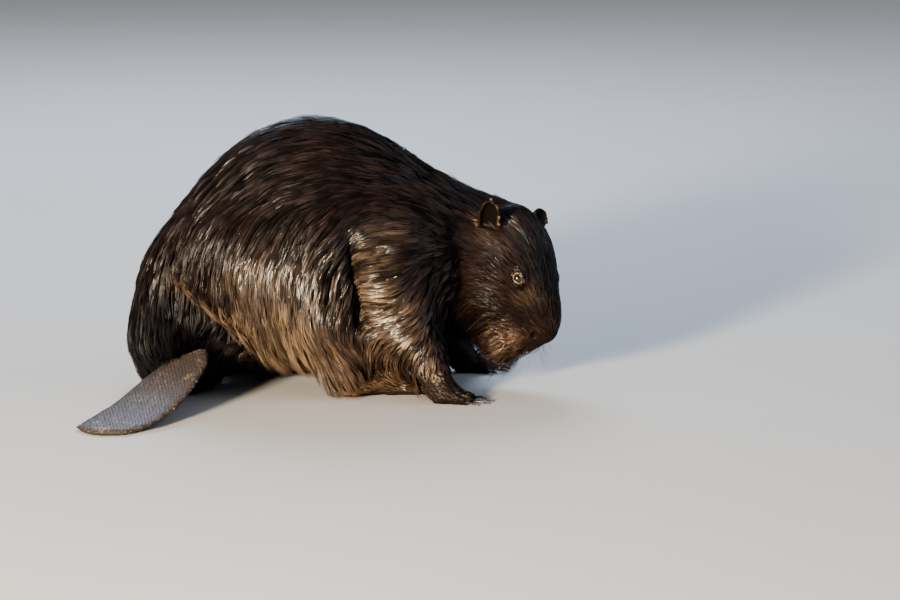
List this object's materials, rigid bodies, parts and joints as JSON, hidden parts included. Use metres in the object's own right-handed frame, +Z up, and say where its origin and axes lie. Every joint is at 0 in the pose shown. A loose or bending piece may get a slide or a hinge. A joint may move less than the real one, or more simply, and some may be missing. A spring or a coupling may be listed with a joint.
{
  "type": "beaver",
  "caption": "Life-size model of an adult beaver with wet fur, on all fours with a humped back, lowered head and a flat tail laid on the floor.",
  "frame": {"origin": "on the ground plane, under the middle of the animal's box", "axes": "+X towards the head, +Y to the animal's left, +Z up; the feet, hands and tail rest on z = 0"},
  "size_m": [0.6316, 0.493, 0.366],
  "materials": {
    "back_fur": "wet dark-brown guard hair, near black along the back, with a cool sheen",
    "flank_fur": "wet golden-brown fur in pointed locks with dark gaps between them",
    "limb_fur": "wet brown fur in short clumped locks, cream on the lit crests",
    "face_fur": "short wet brown fur, dark on the forehead, golden on cheeks and lips",
    "hand_skin": "dark wrinkled skin with a thin cover of short hair, damp",
    "foot_skin": "brown short-haired and webbed skin, finely scaled on the toes, damp",
    "tail_scales": "grey-brown leathery scales with tan flecks, satin",
    "claw_horn": "dark worn horn, satin",
    "eye": "dark brown, wet and glossy"
  },
  "bodies": {
    "root": {"neck": "back_fur", "chest": "back_fur", "barrel": "back_fur", "rump": "back_fur", "tail_root": "back_fur", "thigh_right": "flank_fur", "thigh_left": "flank_fur", "upper_arm_right": "limb_fur", "upper_arm_left": "limb_fur", "forearm_right": "limb_fur", "forearm_left": "limb_fur", "head": "face_fur", "ear_right": "face_fur", "ear_left": "face_fur", "hand_right": "hand_skin", "hand_left": "hand_skin", "foot_right": "foot_skin", "foot_left": "foot_skin", "tail_paddle": "tail_scales", "eye_right": "eye", "eye_left": "eye", "claw_hand_right_1": "claw_horn", "claw_hand_right_2": "claw_horn", "claw_hand_right_3": "claw_horn", "claw_hand_right_4": "claw_horn", "claw_hand_right_5": "claw_horn", "claw_hand_left_1": "claw_horn", "claw_hand_left_2": "claw_horn", "claw_hand_left_3": "claw_horn", "claw_hand_left_4": "claw_horn", "claw_hand_left_5": "claw_horn", "claw_foot_right_1": "claw_horn", "claw_foot_right_2": "claw_horn", "claw_foot_right_3": "claw_horn", "claw_foot_right_4": "claw_horn", "claw_foot_right_5": "claw_horn", "claw_foot_left_1": "claw_horn", "claw_foot_left_2": "claw_horn", "claw_foot_left_3": "claw_horn", "claw_foot_left_4": "claw_horn", "claw_foot_left_5": "claw_horn"}
  },
  "joints": []
}
